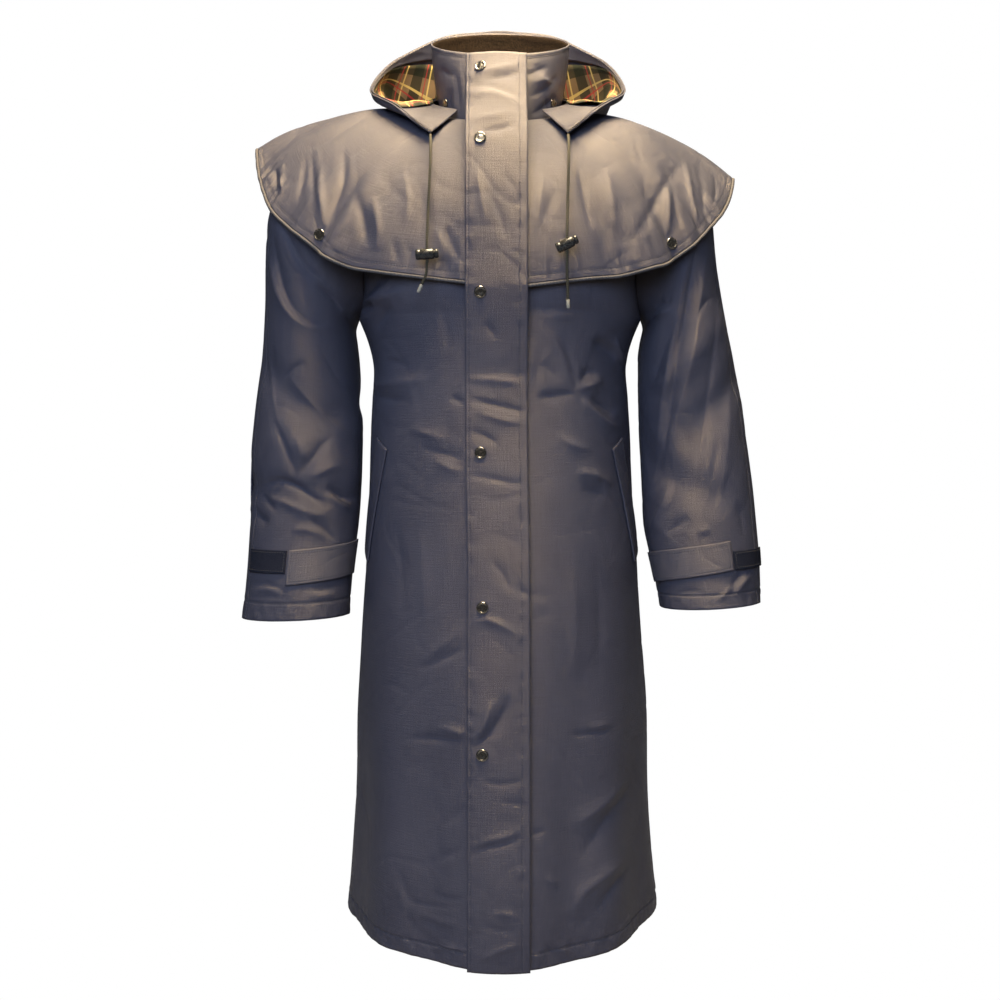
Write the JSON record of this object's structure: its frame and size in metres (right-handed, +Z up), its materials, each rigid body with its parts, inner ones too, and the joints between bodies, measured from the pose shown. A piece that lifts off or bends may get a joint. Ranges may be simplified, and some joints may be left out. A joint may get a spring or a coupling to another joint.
{
  "type": "hooded cape coat",
  "caption": "Long hooded riding coat in its worn, filled-out shape: shoulder cape with piped hem, stand collar, hood lying open behind, snapped storm flap and tabbed cuffs.",
  "frame": {"origin": "Between the shoulders at the height of the neck seam, where the wearer carries the coat.", "axes": "The coat faces -Y, +Z is up, and the wearer's left is +X."},
  "size_m": [0.6763, 0.4399, 1.2186],
  "materials": {
    "shell_cloth": "fine close navy weave with a warm satin sheen",
    "plaid_lining": "matte woven check",
    "collar_lining": "matte dark brown pile",
    "piping": "smooth grey",
    "hook_patch": "short matte loop pile",
    "snap_metal": "polished nickel",
    "drawcord": "braided, dark olive brown",
    "cord_lock": "glossy",
    "cord_tip": "semi-gloss"
  },
  "bodies": {
    "root": {"back": "shell_cloth", "front_right": "shell_cloth", "front_left": "shell_cloth", "pocket_welt_right": "shell_cloth", "pocket_welt_left": "shell_cloth", "sleeve_front_right": "shell_cloth", "sleeve_back_right": "shell_cloth", "sleeve_front_left": "shell_cloth", "sleeve_back_left": "shell_cloth", "cuff_tab_right": "shell_cloth", "cuff_tab_left": "shell_cloth", "cuff_patch_right": "hook_patch", "cuff_patch_left": "hook_patch", "cape_front_right": "shell_cloth", "cape_front_left": "shell_cloth", "cape_back": "shell_cloth", "cape_piping_front_right": "piping", "cape_piping_front_left": "piping", "cape_piping_back": "piping", "collar": "shell_cloth", "collar_lining": "collar_lining", "hood": "shell_cloth", "hood_lining": "plaid_lining", "hood_casing": "shell_cloth", "storm_flap": "shell_cloth", "snap_flap_1": "snap_metal", "snap_flap_2": "snap_metal", "snap_flap_3": "snap_metal", "snap_flap_4": "snap_metal", "snap_flap_5": "snap_metal", "snap_flap_6": "snap_metal", "snap_cape_right": "snap_metal", "snap_cape_left": "snap_metal", "snap_hood_right": "snap_metal", "snap_hood_left": "snap_metal", "drawcord_right": "drawcord", "drawcord_left": "drawcord", "cord_lock_right": "cord_lock", "cord_lock_left": "cord_lock", "cord_tip_right": "cord_tip", "cord_tip_left": "cord_tip"}
  },
  "joints": []
}
